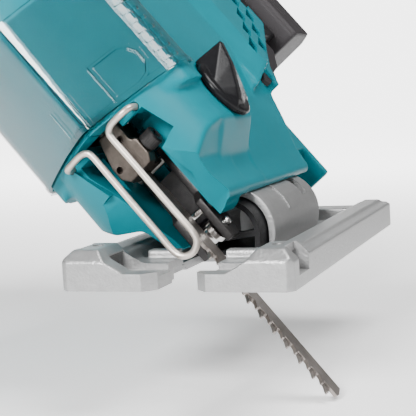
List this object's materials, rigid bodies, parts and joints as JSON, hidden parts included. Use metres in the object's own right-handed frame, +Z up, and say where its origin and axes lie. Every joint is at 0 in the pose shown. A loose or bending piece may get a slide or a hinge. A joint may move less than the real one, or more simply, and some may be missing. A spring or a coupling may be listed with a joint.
{
  "type": "jigsaw power tool",
  "caption": "Cordless top-handle jigsaw on a cast base plate, its body tilted for a bevel cut, with blade, wire guard, clear dust cover and slide-on battery.",
  "frame": {"origin": "On the sole, in the mid-plane, under the middle of the tilt barrel", "axes": "+Z up, -Y towards the tool's front, +X to the tool's left"},
  "size_m": [0.1838, 0.232, 0.209],
  "materials": {
    "teal_plastic": "teal moulded polyamide, fine satin grain",
    "black_plastic": "black moulded plastic, satin",
    "dark_plastic": "dark grey battery and motor plastic",
    "rubber": "black overmoulded rubber",
    "cast_aluminium": "sand-textured die-cast aluminium",
    "cast_steel": "brownish sintered steel",
    "steel": "ground steel",
    "black_steel": "black-oxide steel",
    "wire_steel": "satin plated wire",
    "clear_plastic": "clear polycarbonate",
    "copper": "varnished copper windings",
    "bronze": "sintered bronze",
    "circuit_board": "green board",
    "cell_sleeve": "sleeved steel cell"
  },
  "bodies": {
    "base": {"base_plate": "cast_aluminium", "dust_nozzle": "black_plastic"},
    "housing": {"housing_left": "teal_plastic", "housing_right": "teal_plastic", "grip_pad": "rubber", "guard_wire": "wire_steel", "plunger_guide_lower": "bronze", "plunger_guide_upper": "bronze", "holder_pivot_pin": "steel", "clamp_washer": "steel", "clamp_nut": "steel", "gear_axle": "steel", "gear_case": "cast_aluminium", "front_bearing": "steel", "rear_bearing": "steel", "motor_can": "dark_plastic", "stator": "copper", "motor_end_bell": "dark_plastic", "switch_body": "dark_plastic", "controller_board": "circuit_board", "terminal_block": "black_plastic", "led_lens": "clear_plastic", "housing_screw_1": "black_steel", "housing_screw_2": "black_steel", "housing_screw_3": "black_steel", "housing_screw_4": "black_steel", "housing_screw_5": "black_steel", "housing_screw_6": "black_steel"},
    "cover": {"dust_cover": "clear_plastic"},
    "plunger": {"plunger_rod": "steel", "crosshead": "steel", "blade_clamp": "cast_steel", "blade": "steel"},
    "clamp_screw_body": {"clamp_screw": "black_steel"},
    "roller_arm": {"roller_holder": "black_plastic", "roller_pin": "steel", "blade_stop_pin": "steel"},
    "roller_wheel": {"roller": "steel"},
    "lever": {"orbital_lever": "black_plastic", "lever_shaft": "steel"},
    "clamp_bolt": {"base_clamp_bolt": "black_steel"},
    "crank": {"crank_gear": "steel", "crank_pin": "steel"},
    "motor_rotor": {"rotor": "steel", "pinion": "steel", "cooling_fan": "black_plastic"},
    "trigger_body": {"trigger": "black_plastic"},
    "lock_body": {"lock_button": "black_plastic"},
    "dial_body": {"speed_dial": "black_plastic"},
    "battery": {"battery_rail_case": "black_plastic", "battery_rear_case": "dark_plastic", "battery_cell_1": "cell_sleeve", "battery_cell_2": "cell_sleeve", "battery_cell_3": "cell_sleeve", "battery_cell_4": "cell_sleeve", "battery_cell_5": "cell_sleeve"},
    "battery_latch": {"battery_button": "black_plastic"}
  },
  "joints": [
    {"name": "bevel", "type": "hinge", "parent": "base", "child": "housing", "pos_m": [0, 0, 0.0103], "axis": [0, 1, 0], "range_deg": [-5, 85]},
    {"name": "cover_pull", "type": "slide", "parent": "housing", "child": "cover", "axis": [0, -1, 0], "range_m": [0, 0.035]},
    {"name": "plunger_stroke", "type": "slide", "parent": "housing", "child": "plunger", "axis": [-0.6428, 0, 0.766], "range_m": [-0.013, 0.013]},
    {"name": "clamp_screw_turn", "type": "hinge", "parent": "plunger", "child": "clamp_screw_body", "pos_m": [-0.01766, -0.0655, 0.04379], "axis": [0.766, 0, 0.6428], "range_deg": [0, 720]},
    {"name": "roller_arm_swing", "type": "hinge", "parent": "housing", "child": "roller_arm", "pos_m": [-0.02121, -0.0485, 0.03558], "axis": [0.766, 0, 0.6428], "range_deg": [0, 3]},
    {"name": "roller_spin", "type": "hinge", "parent": "roller_arm", "child": "roller_wheel", "pos_m": [-0.00129, -0.0523, 0.01183], "axis": [0.766, 0, 0.6428], "continuous": true},
    {"name": "orbital_lever_turn", "type": "hinge", "parent": "housing", "child": "lever", "pos_m": [-0.00311, -0.0295, 0.05912], "axis": [0.766, 0, 0.6428], "range_deg": [-90, 0]},
    {"name": "clamp_bolt_turn", "type": "hinge", "parent": "housing", "child": "clamp_bolt", "pos_m": [-0.00643, 0.0185, 0.01796], "axis": [0.6428, 0, -0.766], "range_deg": [0, 720]},
    {"name": "crank_spin", "type": "hinge", "parent": "housing", "child": "crank", "pos_m": [-0.06299, -0.0435, 0.08537], "axis": [0, 1, 0], "continuous": true},
    {"name": "motor_spin", "type": "hinge", "parent": "housing", "child": "motor_rotor", "pos_m": [-0.04589, 0.0065, 0.065], "axis": [0, 1, 0], "continuous": true},
    {"name": "trigger_squeeze", "type": "slide", "parent": "housing", "child": "trigger_body", "axis": [-0.6428, 0, 0.766], "range_m": [0, 0.005], "stiffness_N_per_m": 800, "springref_m": -0.004},
    {"name": "lock_push", "type": "slide", "parent": "housing", "child": "lock_body", "axis": [-0.766, 0, -0.6428], "range_m": [0, 0.003], "stiffness_N_per_m": 500, "springref_m": -0.003},
    {"name": "speed_dial_turn", "type": "hinge", "parent": "housing", "child": "dial_body", "pos_m": [-0.11827, -0.0315, 0.15125], "axis": [0.766, 0, 0.6428], "range_deg": [-135, 135]},
    {"name": "battery_slide", "type": "slide", "parent": "housing", "child": "battery", "axis": [-0.6428, 0, 0.766], "range_m": [0, 0.09]},
    {"name": "battery_latch_push", "type": "slide", "parent": "battery", "child": "battery_latch", "axis": [0.6428, 0, -0.766], "range_m": [0, 0.003], "stiffness_N_per_m": 500, "springref_m": -0.003}
  ],
  "couplings": [
    {"joint": "motor_spin", "follows": "crank_spin", "ratio": -5.375}
  ]
}
